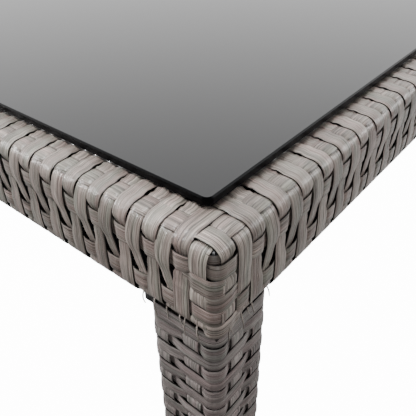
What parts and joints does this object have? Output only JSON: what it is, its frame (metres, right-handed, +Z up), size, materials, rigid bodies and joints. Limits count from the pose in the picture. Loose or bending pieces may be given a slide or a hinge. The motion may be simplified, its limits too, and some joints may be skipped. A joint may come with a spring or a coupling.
{
  "type": "wicker coffee table",
  "caption": "Low rectangular garden table: flat woven grey wicker over a welded tube frame, with a loose dark glass top on clear pads.",
  "frame": {"origin": "on the floor, under the middle of the table", "axes": "+Z up, X along the long rails, Y from the front rail to the back rail"},
  "size_m": [0.9, 0.5, 0.4],
  "materials": {
    "frame_paint": "satin black powder coat",
    "wicker_rail": "extruded flat strand with fine lengthwise grooves, grey-beige, satin",
    "wicker_leg": "extruded flat strand with fine lengthwise grooves, grey-beige, satin",
    "foot_plastic": "moulded black plastic",
    "clear_pad": "clear soft pad",
    "dark_glass": "black tinted toughened glass, polished edge"
  },
  "bodies": {
    "frame": {"back_rail_tube": "frame_paint", "corner_gusset_back_left": "frame_paint", "corner_gusset_back_right": "frame_paint", "corner_gusset_front_left": "frame_paint", "corner_gusset_front_right": "frame_paint", "cross_bar_left": "frame_paint", "cross_bar_right": "frame_paint", "foot_back_left": "foot_plastic", "foot_back_right": "foot_plastic", "foot_front_left": "foot_plastic", "foot_front_right": "foot_plastic", "front_rail_tube": "frame_paint", "glass_pads": "clear_pad", "left_rail_tube": "frame_paint", "leg_cap_back_left": "frame_paint", "leg_cap_back_right": "frame_paint", "leg_cap_front_left": "frame_paint", "leg_cap_front_right": "frame_paint", "leg_tube_back_left": "frame_paint", "leg_tube_back_right": "frame_paint", "leg_tube_front_left": "frame_paint", "leg_tube_front_right": "frame_paint", "right_rail_tube": "frame_paint", "wicker_back_rail": "wicker_rail", "wicker_front_rail": "wicker_rail", "wicker_left_rail": "wicker_rail", "wicker_leg_back_left": "wicker_leg", "wicker_leg_back_right": "wicker_leg", "wicker_leg_front_left": "wicker_leg", "wicker_leg_front_right": "wicker_leg", "wicker_right_rail": "wicker_rail"},
    "glass": {"glass_top": "dark_glass"}
  },
  "joints": [
    {"name": "glass_lift", "type": "slide", "parent": "frame", "child": "glass", "axis": [0, 0, 1], "range_m": [0, 0.06]}
  ]
}
